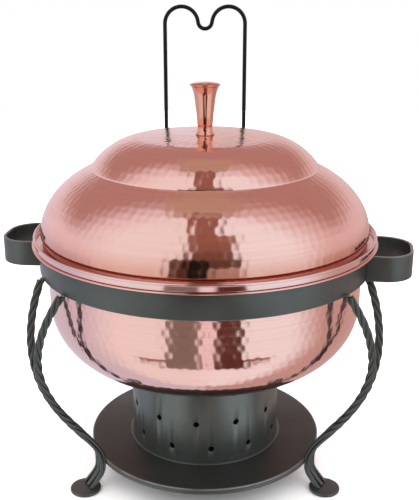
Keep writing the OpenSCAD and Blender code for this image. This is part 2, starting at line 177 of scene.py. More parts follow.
class Link:
    """A socket with arithmetic: an expression on links adds its Math nodes."""

    def __init__(self, paint, socket):
        self.paint, self.socket = paint, socket

    def _with(self, operation, *values):
        return self.paint.node("Math", {"operation": operation}, dict(enumerate(values)))

    def __add__(self, other):
        return self._with("ADD", self, other)

    def __sub__(self, other):
        return self._with("SUBTRACT", self, other)

    def __rsub__(self, other):
        return self._with("SUBTRACT", other, self)

    def __mul__(self, other):
        return self._with("MULTIPLY", self, other)

    def __pow__(self, other):
        return self._with("POWER", self, other)

    def __rpow__(self, other):
        return self._with("POWER", other, self)

    def __abs__(self):
        return self._with("ABSOLUTE", self)

    def least(self, other):
        return self._with("MINIMUM", self, other)

    __radd__ = __add__
    __rmul__ = __mul__


class Paint:
    """Builds the nodes of one material or world."""

    def __init__(self, owner):
        owner.use_nodes = True
        self.tree = owner.node_tree
        self.tree.nodes.clear()

    def node(self, kind, settings=None, sockets=None, output=0):
        """Adds a node, with its settings first and then its sockets, and gives one output."""
        made = self.tree.nodes.new("ShaderNode" + kind)
        for name, value in (settings or {}).items():
            if name == "stops":
                ramp = made.color_ramp.elements
                while len(ramp) < len(value):
                    ramp.new(0.5)
                for element, (place, colour) in zip(ramp, value):
                    element.position, element.color = place, (*colour, 1)
            else:
                setattr(made, name, value)
        for name, value in (sockets or {}).items():
            if isinstance(value, Link):
                self.tree.links.new(value.socket, made.inputs[name])
            elif value is not None:
                if made.inputs[name].type == "RGBA" and len(value) == 3:
                    value = (*value, 1)
                made.inputs[name].default_value = value
        return Link(self, made.outputs[output]) if len(made.outputs) else None

    def mix(self, factor, a, b, blend="MIX"):
        """A mix of two colours."""
        return self.node("Mix", {"data_type": "RGBA", "blend_type": blend},
                         {0: factor, 6: a, 7: b}, output=2)

    def step(self, value, low, high, to_low=0.0, to_high=1.0):
        """Goes smoothly from one number to another while value goes from low to high."""
        return self.node("MapRange", {"interpolation_type": "SMOOTHSTEP"},
                         {0: value, 1: low, 2: high, 3: to_low, 4: to_high})

    def fade(self, value, low, high):
        """Falls smoothly from 1 to 0 while value goes from low to high."""
        return self.step(value, low, high, 1.0, 0.0)

    def noise(self, vector, scale, detail=3.0, roughness=0.5):
        return self.node("TexNoise", {}, {"Vector": vector, "Scale": scale,
                                          "Detail": detail, "Roughness": roughness})

    def split(self, vector):
        parts = self.node("SeparateXYZ", {}, {0: vector})
        return [Link(self, s) for s in parts.socket.node.outputs]

    def join(self, x, y, z):
        return self.node("CombineXYZ", {}, {0: x, 1: y, 2: z})


class Finish(Paint):
    """A metal finish on Object coordinates, centred on the kettle's axis."""

    def __init__(self, name):
        self.material = bpy.data.materials.new(name)
        super().__init__(self.material)
        place = self.node("TexCoord", output=3)
        self.place = self.node("Mapping", {}, {0: place, 1: (0, -AXIS_Y, 0)})
        self.x, self.y, self.z = self.split(self.place)
        self.r = (self.x * self.x + self.y * self.y) ** 0.5

    def near(self, value, at, reach):
        """1 where a value is at a place, falling to 0 at reach from it."""
        return self.fade(abs(value - at), 0.0, reach)

    def round_lines(self, scale):
        """Fine lines round the axis, as a buffing wheel leaves them."""
        return self.noise(self.join(self.x * 9, self.y * 9, self.z * scale + self.r * scale),
                          1.0, 2.0)

    def bump(self, height, strength, distance):
        return self.node("Bump", {}, {"Height": height, "Strength": strength,
                                      "Distance": distance})

    def finish(self, **sockets):
        surface = self.node("BsdfPrincipled", {},
                            {name.replace("_", " "): v for name, v in sockets.items()})
        self.node("OutputMaterial", {}, {0: surface})
        return self.material


def copper_finish(name, shine, polished=None, low=None):
    """Buffed copper with clouds of tarnish; given a low edge, painted shade darkens it towards
    that edge.
    """
    colours = bpy.context.scene.kettle_copper
    f = Finish(name)
    clouds = f.noise(f.place, 11.0, 4.0, 0.6)
    smudge_and_shade_noise = f.noise(f.place, 60.0, 3.0, 0.55)
    lines = f.round_lines(1500.0 if polished else 900.0)
    grain = f.noise(f.place, 900.0, 2.0)
    tarnish_and_shade_amount = f.step(clouds, 0.48, 0.78) * 0.22
    # Painted shade: within 30 mm of the low edge the copper takes the tarnish colour.
    if low is not None:
        tarnish_and_shade_amount = tarnish_and_shade_amount + f.near(f.z, low, 0.030) * f.step(smudge_and_shade_noise, 0.3, 0.7, 0.8, 1.0)
    base = f.mix(tarnish_and_shade_amount.least(1.0), tuple(polished or colours.copper), tuple(colours.tarnish_and_shade_colour))
    base = f.mix(f.step(lines, 0.3, 0.75, 0.0, 0.10), base, tuple(colours.tarnish_and_shade_colour))
    rough = f.step(smudge_and_shade_noise, 0.35, 0.8, shine, shine + 0.05) + f.step(lines, 0.35, 0.8, 0.0, 0.035)
    height = lines * 0.6 + grain * 0.4
    return f.finish(Base_Color=base, Metallic=1.0, Roughness=rough,
                    Normal=f.bump(height, 0.06 if polished else 0.10, 0.0003))


def steel_finish(name, colour, shine, scale=1300.0):
    """Steel or tin, brushed round the axis."""
    f = Finish(name)
    lines = f.round_lines(scale)
    clouds = f.noise(f.place, 18.0, 3.0, 0.55)
    base = f.mix(f.step(clouds, 0.4, 0.8, 0.0, 0.25), colour, tuple(c * 0.72 for c in colour))
    base = f.mix(f.step(lines, 0.35, 0.7, 0.0, 0.14), base, tuple(c * 0.6 for c in colour))
    rough = f.step(lines, 0.3, 0.75, shine, shine + 0.10) + f.step(clouds, 0.4, 0.8, 0.0, 0.05)
    return f.finish(Base_Color=base, Metallic=1.0, Roughness=rough,
                    Normal=f.bump(lines, 0.12, 0.0003))


def iron_finish(name, edges=(), rubbed_r=(), painted_light_tone=1.0):
    """Satin powder coat, with its fine orange peel and edges rubbed lighter; a tone below 1 paints
    shade over the whole coat, and one above 1 paints a highlight.
    """
    colours = bpy.context.scene.kettle_metal
    f = Finish(name)
    peel = f.noise(f.place, 1100.0, 2.0, 0.5)
    lumps = f.noise(f.place, 240.0, 2.0, 0.5)
    clouds = f.noise(f.place, 22.0, 4.0, 0.6)
    specks = f.noise(f.place, 420.0, 4.0, 0.7)
    worn = f.step(specks, 0.70, 0.78, 0.0, 0.35)
    for z in edges:
        worn = worn + f.near(f.z, z, 0.0011) * f.step(clouds, 0.32, 0.62, 0.15, 0.8)
    for r in rubbed_r:
        worn = worn + f.near(f.r, r, 0.0016) * f.step(clouds, 0.3, 0.6, 0.25, 0.95)
    base = f.mix(f.step(clouds, 0.35, 0.75, 0.0, 0.5), tuple(c * painted_light_tone for c in colours.iron),
                 tuple(c * painted_light_tone * 0.72 for c in colours.iron))
    base = f.mix(worn.least(1.0), base, tuple(colours.worn_iron))
    rough = f.step(clouds, 0.3, 0.7, 0.32, 0.40) - worn.least(1.0) * 0.06
    return f.finish(Base_Color=base, Metallic=0.8, Roughness=rough,
                    Normal=f.bump(peel * 0.55 + lumps * 0.45, 0.30, 0.0004))


def wire_finish():
    """Gloss black dip coat on wire."""
    colours = bpy.context.scene.kettle_metal
    f = Finish("black_wire_coat")
    sag = f.noise(f.place, 170.0, 3.0, 0.5)
    fine = f.noise(f.place, 900.0, 2.0, 0.5)
    base = f.mix(f.step(sag, 0.5, 0.8, 0.0, 0.6), tuple(colours.wire),
                 tuple(c * 2.4 for c in colours.wire))
    return f.finish(Base_Color=base, Roughness=f.step(fine, 0.3, 0.8, 0.26, 0.40),
                    Specular_IOR_Level=0.15,
                    Normal=f.bump(sag * 0.7 + fine * 0.3, 0.10, 0.0004))


def gel_finish():
    """Cloudy gelled spirit."""
    colour = tuple(bpy.context.scene.kettle_metal.gel)
    f = Finish("gelled_fuel")
    clouds = f.noise(f.place, 160.0, 4.0, 0.6)
    base = f.mix(f.step(clouds, 0.35, 0.7, 0.0, 0.6), colour, tuple(c * 0.6 + 0.3 for c in colour))
    return f.finish(Base_Color=base, Roughness=f.step(clouds, 0.3, 0.7, 0.14, 0.28),
                    Normal=f.bump(clouds, 0.3, 0.0012))


# Modelling by hand, in edit mode


def clear_selection():
    """Leaves edit mode and deselects everything."""
    if bpy.context.object and bpy.context.object.mode != "OBJECT":
        bpy.ops.object.mode_set(mode="OBJECT")
    bpy.ops.object.select_all(action="DESELECT")


def pick(*pieces):
    """Selects these pieces alone and makes the first one active."""
    clear_selection()
    for piece in pieces:
        piece.select_set(True)
    bpy.context.view_layer.objects.active = pieces[0]


def stretch_and_move(size, move):
    """Scales the selected mesh about the origin and moves it, then leaves edit mode."""
    bpy.ops.transform.resize(value=size, center_override=(0, 0, 0))
    bpy.ops.transform.translate(value=move)
    bpy.ops.object.mode_set(mode="OBJECT")


def at_turn(angle, out, z, aside=0.0):
    """A point out from the kettle's axis and to the side, turned round it by an angle."""
    ca, sa = math.cos(angle), math.sin(angle)
    return out * ca - aside * sa, AXIS_Y + out * sa + aside * ca, z


def start_outline(name, point):
    """A new piece that is one vertex at the start of its outline, left in edit mode."""
    clear_selection()
    bpy.ops.mesh.primitive_plane_add(size=0.001, location=(0, 0, 0))
    piece = bpy.context.object
    piece.name = piece.data.name = name
    bpy.ops.object.mode_set(mode="EDIT")
    bpy.ops.mesh.merge(type="CENTER")
    bpy.ops.transform.translate(value=point)
    return piece


def extrude_to(points):
    """Extrudes what is selected from the first of the points through all the others."""
    for a, b in zip(points, points[1:]):
        bpy.ops.mesh.extrude_region_move(
            TRANSFORM_OT_translate={"value": tuple(Vector(b) - Vector(a))})


def close_and_turn_out(merge=0.000002):
    """Merges doubles and turns the faces outwards, in edit mode."""
    bpy.ops.mesh.select_all(action="SELECT")
    bpy.ops.mesh.remove_doubles(threshold=merge)
    bpy.ops.mesh.normals_make_consistent(inside=False)
    bpy.ops.object.mode_set(mode="OBJECT")


def turned(name, outline, steps):
    """A piece turned round the kettle's axis from a closed outline of radius and height."""
    points = [(r, AXIS_Y, z) for r, z in outline]
    piece = start_outline(name, points[0])
    extrude_to(points + [points[0]])
    bpy.ops.mesh.select_all(action="SELECT")
    bpy.ops.mesh.spin(steps=steps, angle=math.tau, center=(0, AXIS_Y, 0), axis=(0, 0, 1))
    close_and_turn_out()
    return piece


def apply(piece, kind, name="shape", **settings):
    """Adds a modifier with its settings and applies it."""
    modifier = piece.modifiers.new(name, kind)
    for key, value in settings.items():
        setattr(modifier, key, value)
    bpy.context.view_layer.objects.active = piece
    bpy.ops.object.modifier_apply(modifier=modifier.name)


def round_edges(piece, width, segments, angle=50):
    """Rounds every edge that is sharper than an angle."""
    apply(piece, "BEVEL", width=width, segments=segments, limit_method="ANGLE",
          angle_limit=math.radians(angle))


def smooth(piece, angle=40):
    """Smooth shading, with edges sharper than the angle left crisp."""
    pick(piece)
    bpy.ops.object.shade_smooth_by_angle(angle=math.radians(angle))


def join(pieces, name):
    """One piece made of several."""
    pick(*pieces)
    if len(pieces) > 1:
        bpy.ops.object.join()
    pieces[0].name = pieces[0].data.name = name
    return pieces[0]


def turned_copy(piece, name, angle):
    """A copy with its own mesh, turned round the kettle's axis."""
    pick(piece)
    bpy.ops.object.duplicate(linked=False)
    copy = bpy.context.object
    copy.name = copy.data.name = name
    bpy.ops.object.mode_set(mode="EDIT")
    bpy.ops.mesh.select_all(action="SELECT")
    bpy.ops.transform.rotate(value=-angle, orient_axis="Z", center_override=(0, AXIS_Y, 0))
    bpy.ops.object.mode_set(mode="OBJECT")
    return copy


def bent_rod(name, points, radius, rings=4):
    """Round rod bent along a line of points, with closed ends."""
    clear_selection()
    bpy.ops.curve.primitive_nurbs_path_add(location=(0, 0, 0))
    rod = bpy.context.object
    line = rod.data
    line.splines.clear()
    spline = line.splines.new("POLY")
    spline.points.add(len(points) - 1)
    for place, point in zip(spline.points, points):
        place.co = (*point, 1)
    line.twist_mode = "MINIMUM"
    line.bevel_depth, line.bevel_resolution, line.use_fill_caps = radius, rings, True
    bpy.ops.object.convert(target="MESH")
    rod = bpy.context.object
    rod.name = rod.data.name = name
    bpy.ops.object.mode_set(mode="EDIT")
    close_and_turn_out()
    return rod


def weld_bead(point, size, seed):
    """A lump of weld, uneven as it cooled."""
    clear_selection()
    bpy.ops.mesh.primitive_uv_sphere_add(segments=20, ring_count=12, radius=1, location=(0, 0, 0))
    bead = bpy.context.object
    chance = random.Random(seed)
    bpy.ops.object.mode_set(mode="EDIT")
    bpy.ops.transform.vertex_random(offset=0.10, uniform=0.3, normal=0.8, seed=seed)
    bpy.ops.mesh.vertices_smooth(factor=0.5, repeat=2)
    stretch_and_move([s * chance.uniform(0.9, 1.1) for s in size], point)
    return bead


def leg_welds(radius, height, spread, size, seed):
    """Two lumps of weld at each leg, on a circle round the kettle's axis."""
    beads = []
    for n, (_, turn) in enumerate(LEG_TURNS):
        for side in (-1, 1):
            place = at_turn(math.radians(turn) + side * spread, radius, height)
            beads.append(weld_bead(place, size, seed + 2 * n + side))
    return beads


def arc(centre, radii, start, end, steps, first=0):
    """Points on an ellipse, with its angles in degrees."""
    out = []
    for i in range(first, steps + 1):
        a = math.radians(start + (end - start) * i / steps)
        out.append((centre[0] + radii[0] * math.cos(a), centre[1] + radii[1] * math.sin(a)))
    return out


def offset(line, distance):
    """A line moved to its right-hand side, for the inner wall of a sheet."""
    out = []
    for i, p in enumerate(line):
        a, b = line[max(i - 1, 0)], line[min(i + 1, len(line) - 1)]
        dx, dz = b[0] - a[0], b[1] - a[1]
        length = math.hypot(dx, dz) or 1.0
        out.append((p[0] + distance * dz / length, p[1] - distance * dx / length))
    return out


def rounded_bar(inner, outer, low, high, edge, steps=3):
    """Outline of a flat bar with its four edges rounded."""
    out = []
    for cx, cz, start in ((outer - edge, low + edge, -90), (outer - edge, high - edge, 0),
                          (inner + edge, high - edge, 90), (inner + edge, low + edge, 180)):
        out += arc((cx, cz), (edge, edge), start, start + 90, steps)
    return out


def dress(piece, body, slot, material, *nodes, angle=40):
    """Shading, finish and body of a piece, and the CAD nodes that it stands for. The slot is not
    used.
    """
    smooth(piece, angle)
    piece.data.materials.clear()
    piece.data.materials.append(material)
    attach(piece, body)
    if nodes:
        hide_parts(*nodes)


def hammer(piece, line, first, spare, seed):
    """Hammer marks: rows of shallow hollows along a line, from first to spare before its end."""
    sizes = bpy.context.scene.kettle_copper
    chance = random.Random(seed)
    last = sum(math.dist(a, b) for a, b in zip(line, line[1:])) - spare
    rows, run, wanted = [], 0.0, 0.0
    for a, b in zip(line, line[1:]):
        run += math.dist(a, b)
        if run >= wanted:
            wanted += sizes.mark_row
            if first <= run <= last:
                rows.append(b)
    marks = []
    for n, (r, z) in enumerate(rows):
        count = max(6, round(math.tau * r / sizes.mark_pitch))
        for k in range(count):
            a = math.tau * (k + 0.5 * (n % 2) + chance.uniform(-0.14, 0.14)) / count
            place = Vector(at_turn(a, r, z + chance.uniform(-0.0006, 0.0006)))
            marks.append((place, chance.uniform(0.65, 1.0)))
    tree = kdtree.KDTree(len(marks))
    for i, (place, _) in enumerate(marks):
        tree.insert(place, i)
    tree.balance()
    reach = 0.62 * sizes.mark_pitch
    middle = Vector((0, AXIS_Y, (min(p[1] for p in line) + max(p[1] for p in line)) / 2))
    group = piece.vertex_groups.new(name="hammer_marks")
    for v in piece.data.vertices:
        if v.normal.dot(v.co - middle) > 0:
            _, i, gap = tree.find(v.co)
            weight = marks[i][1] * (1 - (gap / reach) ** 2)
            if weight > 0:
                group.add([v.index], weight, "REPLACE")
    apply(piece, "DISPLACE", strength=-sizes.mark_depth, mid_level=0.0,
          vertex_group="hammer_marks")
    piece.vertex_groups.clear()


# The pieces


class KETTLE_OT_lid(bpy.types.Operator):
    """Model the hammered copper lid with its two domes and rolled lower edge"""

    bl_idname = "kettle.lid"
    bl_label = "Lid"

    def execute(self, context):
        sheet, bead, foot_r = 0.001, 0.0012, LID_R - 0.003
        crease_r, crease_rise, dome_rise, dome_sweep = 0.1135, 0.069, 0.030, math.radians(58)
        flat_r, hole_r, fall = 0.0085, 0.0028, 0.0012
        crease = (crease_r, LID_LOW + crease_rise)
        shoulder = (LID_R * 0.37, LID_LOW + bead * 6)
        wide = LID_R - shoulder[0]
        end = math.degrees(math.acos((crease[0] - shoulder[0]) / wide))
        tall = (crease[1] - shoulder[1]) / math.sin(math.radians(end))
        dome_r = dome_rise / (1 - math.cos(dome_sweep))
        dome = (crease[0] - dome_r * math.sin(dome_sweep), crease[1] + dome_rise - dome_r)
        crown = [(flat_r + (dome[0] - flat_r) * s / 22, LID_TOP - fall * (s / 22) ** 2)
                 for s in range(22)]
        fold = [(crease[0] - 0.0010, crease[1] + 0.0010),
                (crease[0] + 0.0006, crease[1] - 0.0002)]
        line = ([(hole_r, LID_TOP)] + crown + arc(dome, (dome_r, dome_r), 90, 33.5, 36)
                + fold + arc(shoulder, (wide, tall), end, 0, 54, first=1))
        roll = arc((foot_r, LID_LOW + bead), (bead, bead), 55, -190, 12)
        inner = offset(line, sheet)
        under = ([inner[-1]] + inner[-6:60:-5] + [inner[60]] + inner[58:22:-4]
                 + inner[22:2:-6] + [(hole_r, LID_TOP - sheet)])
        lid = turned("hammered_lid", line + roll + under, HAMMERED_STEPS)
        hammer(lid, line, 0.012, 0.004, 11)
        # low=LID_LOW adds painted shade along the lid's lower edge.
        dress(lid, "lid", "copper_hammered",
              copper_finish("hammered_copper_lid", 0.11, low=LID_LOW), "lid_shell", angle=50)
        return {"FINISHED"}


class KETTLE_OT_bowl(bpy.types.Operator):
    """Model the hammered copper kettle with its flange"""

    bl_idname = "kettle.bowl"
    bl_label = "Kettle"

    def execute(self, context):
        sheet, wall, flat, edge = 0.0012, 0.060, 0.088, 0.00045
        flange, bend, top_bend = 0.0145, 0.002, 0.0032
        r = FLANGE_R - flange
        under = FLANGE_TOP - sheet
        depth = under - KETTLE_LOW
        bottom = [(0.0, KETTLE_LOW)] + [(flat * s / 9, KETTLE_LOW) for s in range(1, 9)]
        curve = arc((flat, under - wall), (r - flat, depth - wall), -90, 0, 60)
        side = [(r, under - wall + wall * s / 36) for s in range(1, 36)]
        neck = arc((r + bend, under - bend), (bend, bend), 180, 90, 4)
        rim = (arc((FLANGE_R - edge, under + edge), (edge, edge), -90, 0, 3)
               + arc((FLANGE_R - edge, FLANGE_TOP - edge), (edge, edge), 0, 90, 3))
        back = (arc((r + bend, FLANGE_TOP - top_bend), (top_bend, top_bend), 90, 180, 4)
                + [(r - sheet, under - wall)]
                + arc((flat, under - wall), (r - flat - sheet, depth - wall - sheet), 0, -90, 20,
                      first=1) + [(0.0, KETTLE_LOW + sheet)])
        outside = bottom + curve + side
        kettle = turned("hammered_kettle", outside + neck + rim + back, HAMMERED_STEPS)
        hammer(kettle, outside, 0.080, 0.003, 23)
        # low=KETTLE_LOW adds painted shade towards the bottom of the kettle.
        dress(kettle, "kettle", "copper_hammered",
              copper_finish("hammered_copper_kettle", 0.10, low=KETTLE_LOW), "kettle_body",
              angle=50)
        return {"FINISHED"}


class KETTLE_OT_pan(bpy.types.Operator):
    """Model the steel food pan and the polished rim that it hangs by"""

    bl_idname = "kettle.pan"
    bl_label = "Food pan"

    def execute(self, context):
        sheet, wall, flat, bead = 0.001, 0.036, 0.092, 0.0012
        depth = PAN_TOP - PAN_LOW
        outside = ([(0.0, PAN_LOW), (flat * 0.5, PAN_LOW)]
                   + arc((flat, PAN_TOP - wall), (PAN_R - flat, depth - wall), -90, 0, 24))
        inside = ([(PAN_R - sheet, PAN_TOP)]
                  + arc((flat, PAN_TOP - wall), (PAN_R - flat - sheet, depth - wall - sheet),
                        0, -90, 24)
                  + [(flat * 0.5, PAN_LOW + sheet), (0.0, PAN_LOW + sheet)])
        pan = turned("food_pan_steel", outside + [(PAN_R, PAN_TOP)] + inside, ROUND_STEPS)
        steel = steel_finish("pan_steel", tuple(context.scene.kettle_metal.steel), 0.06)
        dress(pan, "pan", "stainless", steel, "food_pan", angle=50)
        wall_r, inner, bend, lip = RIM_R - bead + sheet / 2, PAN_R - sheet, 0.0008, 0.0006
        ledge = ([(inner + lip / 2, RIM_LOW)]
                 + arc((wall_r - bend, RIM_LOW + bend), (bend, bend), -90, 0, 4))
        roll = arc((wall_r - sheet / 2, RIM_TOP - bead), (bead, bead), -65, 245, 20)
        back = (arc((wall_r - sheet - bend, RIM_LOW + sheet + bend), (bend, bend), 0, -90, 4)
                + arc((inner + lip, RIM_LOW + sheet - lip), (lip, lip), 90, 180, 4))
        rim = turned("pan_rim_ring", ledge + roll + back, ROUND_STEPS)
        shine = copper_finish("polished_rim", 0.06, tuple(context.scene.kettle_copper.rim))
        dress(rim, "pan", "copper_polished", shine, "pan_rim", angle=50)
        return {"FINISHED"}


class KETTLE_OT_knob(bpy.types.Operator):
    """Model the flared copper knob and the collar under it"""

    bl_idname = "kettle.knob"
    bl_label = "Knob"

    def execute(self, context):
        neck, taper, cap, edge, chamfer = 0.0075, 0.0034, 0.0026, 0.0007, 0.0004
        hole, bore_top = 0.0026, KNOB_LOW + 0.017
        tall = KNOB_TOP - KNOB_LOW - cap
        flare = [(neck + taper * s + (KNOB_R - edge - neck - taper) * s ** 6, KNOB_LOW + tall * s)
                 for s in (i / 40 for i in range(1, 40))]
        brim = arc((KNOB_R - edge, KNOB_LOW + tall), (edge, edge), -40, 40, 5)
        crown = arc((0, KNOB_LOW + tall + edge * 0.6), (KNOB_R - edge * 1.2, cap - edge * 0.6),
                    14, 90, 18)
        foot = [(hole, KNOB_LOW), (neck - chamfer, KNOB_LOW), (neck, KNOB_LOW + chamfer)]
        bore = [(0.0, bore_top), (hole, bore_top)]
        knob = turned("copper_knob", foot + flare + brim + crown + bore, 128)
        polished = copper_finish("polished_copper", 0.05,
                                 tuple(context.scene.kettle_copper.polished))
        dress(knob, "lid", "copper_polished", polished, "knob", angle=50)
        waist, screw_r, bevel = neck - 0.0006, 0.0028, 0.0003
        high = COLLAR_TOP - COLLAR_LOW
        side = [(waist + (COLLAR_R - waist) * (1 - s) ** 2.2 + (neck - waist) * s ** 3,
                 COLLAR_LOW + high * s) for s in (i / 24 for i in range(1, 24))]
        under = [(screw_r, COLLAR_LOW), (COLLAR_R - bevel, COLLAR_LOW),
                 (COLLAR_R, COLLAR_LOW + bevel)]
        top = [(neck, COLLAR_TOP - bevel), (neck - bevel, COLLAR_TOP), (screw_r, COLLAR_TOP)]
        collar = turned("copper_collar", under + side + top, 128)
        dress(collar, "lid", "copper_polished", polished, "knob_collar", angle=50)
        return {"FINISHED"}


class KETTLE_OT_band(bpy.types.Operator):
    """Model the flat iron band with the welds of its legs"""

    bl_idname = "kettle.band"
    bl_label = "Band"

    def execute(self, context):
        sizes = context.scene.kettle_stand
        bar = rounded_bar(BAND_R - sizes.bar, BAND_R, BAND_LOW, BAND_TOP, 0.0006)
        band = turned("band_bar", bar, ROUND_STEPS)
        beads = leg_welds(BAND_R - sizes.bar / 2, BAND_LOW - 0.0002,
                          math.asin(sizes.spread / 2 / BAND_R), (0.0034, 0.0034, 0.0016), 40)
        band = join([band] + beads, "band_bar")
        dress(band, "stand", "wrought_iron",
              iron_finish("band_coat", edges=(BAND_LOW, BAND_TOP)), "band_ring")
        return {"FINISHED"}


class KETTLE_OT_handles(bpy.types.Operator):
    """Model the two carrying loops of flat bar"""

    bl_idname = "kettle.handles"
    bl_label = "Handles"

    def execute(self, context):
        sizes = context.scene.kettle_stand
        reach, half_width, corner_r, weld = 0.040, 0.036, 0.028, 0.0008
        half = sizes.bar / 2
        end, wide, corner = BAND_R + reach - half, half_width - half, corner_r - half
        inner = math.sqrt((BAND_R - weld) ** 2 - wide ** 2)
        path = ([(inner, -wide)]
                + arc((end - corner, -wide + corner), (corner, corner), -90, 0, 14)
                + arc((end - corner, wide - corner), (corner, corner), 0, 90, 14)
                + [(inner, wide)])
        coat = iron_finish("handle_coat", edges=(BAND_LOW, BAND_TOP))
        for name, turn in (("handle_left", math.pi - sizes.left_turn),
                           ("handle_right", -sizes.right_turn)):
            line = [at_turn(turn, x, BAND_LOW, y) for x, y in path]
            loop = start_outline(name + "_bar", line[0])
            extrude_to([(0, 0, 0), (0, 0, BAND_TOP - BAND_LOW)])
            bpy.ops.mesh.select_all(action="SELECT")
            extrude_to(line)
            close_and_turn_out()
            apply(loop, "SOLIDIFY", thickness=sizes.bar, offset=0.0, use_even_offset=True)
            round_edges(loop, 0.0006, 3)
            dress(loop, "stand", "wrought_iron", coat, name)
        return {"FINISHED"}


class KETTLE_OT_legs(bpy.types.Operator):
    """Model the three legs, each of two ropes of twisted rod"""

    bl_idname = "kettle.legs"
    bl_label = "Twisted legs"

    def rope_line(self, sizes, side):
        """Centre line of one rope, in the leg's own frame: out, sideways and up."""
        rod_r, weld, meet, gap = 0.00195, 0.0004, 0.54, 0.0001
        belly, rise = Vector((0.063, -0.105)), Vector((0, 0.031))
        top = Vector((BAND_R - sizes.bar / 2, BAND_LOW + weld))
        waist = Vector((PLATE_R + rod_r - weld, PLATE_LOW))
        end = Vector((PLATE_R + FOOT_OUT - sizes.rod, FOOT_TOP + rod_r / 4))
        hook = PLATE_LOW * 0.45
        together = 0.5 * sizes.rod + FOUR_RODS * sizes.rod + gap
        join_z = PLATE_LOW + (BAND_LOW - PLATE_LOW) * meet

        def bezier(a, b, c, d, u):
            return ((1 - u) ** 3 * a + 3 * u * (1 - u) ** 2 * b + 3 * u * u * (1 - u) * c
                    + u ** 3 * d)

        points = [bezier(top, top + belly, waist + rise, waist, i / 150) for i in range(150)]
        points += [bezier(waist, waist - Vector((0, hook)), end + Vector((-hook, hook)), end,
                          i / 18) for i in range(19)]
        out = []
        for r, z in points:
            open_up = max(0.0, min(1.0, (z - join_z) / (BAND_LOW - join_z))) ** 1.25
            out.append(Vector((r, side * (together + (sizes.spread / 2 - together) * open_up), z)))
        return out

    def rods(self, sizes, side, line, turn):
        """The four rods of a rope, wound round its centre line and turned to its leg."""
        helix, wider, flatter = FOUR_RODS * sizes.rod, 1.1, 0.8
        straight = PLATE_LOW + (BAND_LOW - PLATE_LOW) * 0.12
        runs = [0.0]
        for a, b in zip(line, line[1:]):
            runs.append(runs[-1] + (b - a).length)
        stop = max(run for run, p in zip(runs, line) if p.z > straight)
        ease = sizes.twist / 2
        for start in (0.25 * math.pi, 0.75 * math.pi, 1.25 * math.pi, 1.75 * math.pi):
            points = []
            for i, p in enumerate(line):
                along = (line[min(i + 1, len(line) - 1)] - line[max(i - 1, 0)]).normalized()
                across = (Vector((0, 1, 0)) - along[1] * along).normalized()
                d = max(0.0, stop - runs[i])
                wound = math.tau / sizes.twist * (d * d / (2 * ease) if d < ease else d - ease / 2)
                a = start + side * wound
                fan = max(0.0, 1 - p.z / PLATE_LOW)
                out = along.cross(across)
                q = p + helix * (math.cos(a) * (1 + wider * fan) * across
                                 + math.sin(a) * (1 - flatter * fan) * out)
                if q.z < BAND_LOW + 0.0005:
                    points.append(at_turn(turn, q.x, q.z, q.y))
            yield bent_rod("rod", points, sizes.rod / 2, 5)

    def execute(self, context):
        sizes = context.scene.kettle_stand
        coat = iron_finish("leg_coat")
        names = {1: ("leg_left_rope_front", "leg_right_rope_back", "leg_rear_rope_left"),
                 -1: ("leg_left_rope_back", "leg_right_rope_front", "leg_rear_rope_right")}
        for side in (1, -1):
            line = self.rope_line(sizes, side)
            left = LEG_TURNS[0][1]
            first = join(list(self.rods(sizes, side, line, math.radians(left))),
                         names[side][0] + "_rods")
            ropes = [first] + [turned_copy(first, names[side][k] + "_rods",
                                           math.radians(LEG_TURNS[k][1] - left)) for k in (1, 2)]
            for rope, node in zip(ropes, names[side]):
                dress(rope, "stand", "wrought_iron", coat, node, angle=60)
        return {"FINISHED"}


class KETTLE_OT_base(bpy.types.Operator):
    """Model the base plate, the ring under it, the feet and their welds"""

    bl_idname = "kettle.base"
    bl_label = "Base"

    def execute(self, context):
        # The plate's coat is a darker copy of the iron: painted shade, as the plate lies under the
        # kettle.
        plate_coat = iron_finish("plate_coat", rubbed_r=(PLATE_R - 0.0004,), painted_light_tone=0.66)
        edge, rod, weld_turn = 0.0007, 0.0025, 0.034
        plate = turned("base_plate_disc", [(0.0, PLATE_LOW)]
                       + arc((PLATE_R - edge, PLATE_LOW + edge), (edge, edge), -90, 0, 3)
                       + arc((PLATE_R - edge, PLATE_TOP - edge), (edge, edge), 0, 90, 3)
                       + [(0.0, PLATE_TOP)], ROUND_STEPS)
        dress(plate, "stand", "wrought_iron", plate_coat, "base_plate")
        coat = iron_finish("base_coat")
        section = arc((PLATE_R - rod, PLATE_LOW - rod), (rod, rod), 0, 345, 23)
        ring = turned("base_ring_rod", section, ROUND_STEPS)
        beads = leg_welds(PLATE_R, PLATE_LOW - 0.0012, weld_turn, (0.0030, 0.0030, 0.0020), 60)
        ring = join([ring] + beads, "base_ring_rod")
        dress(ring, "stand", "wrought_iron", coat, "base_ring")
        for name, turn in LEG_TURNS:
            clear_selection()
            bpy.ops.mesh.primitive_cylinder_add(vertices=48, radius=FOOT_R, depth=FOOT_TOP,
                                                location=(0, 0, 0))
            foot = bpy.context.object
            foot.name = foot.data.name = "foot_" + name + "_disc"
            bpy.ops.object.mode_set(mode="EDIT")
            bpy.ops.transform.translate(
                value=at_turn(math.radians(turn), PLATE_R + FOOT_OUT, FOOT_TOP / 2))
            bpy.ops.mesh.select_all(action="DESELECT")
            bpy.ops.object.mode_set(mode="OBJECT")
            for face in foot.data.polygons:
                face.select = face.normal.z > 0.9
            bpy.ops.object.mode_set(mode="EDIT")
            bpy.ops.mesh.select_mode(type="FACE")
            for share in (0.42, 0.30):
                bpy.ops.mesh.inset(thickness=FOOT_R * share)
            bpy.ops.mesh.select_mode(type="VERT")
            bpy.ops.object.mode_set(mode="OBJECT")
            round_edges(foot, 0.0011, 4)
            dress(foot, "stand", "wrought_iron", coat, "foot_" + name)
        return {"FINISHED"}


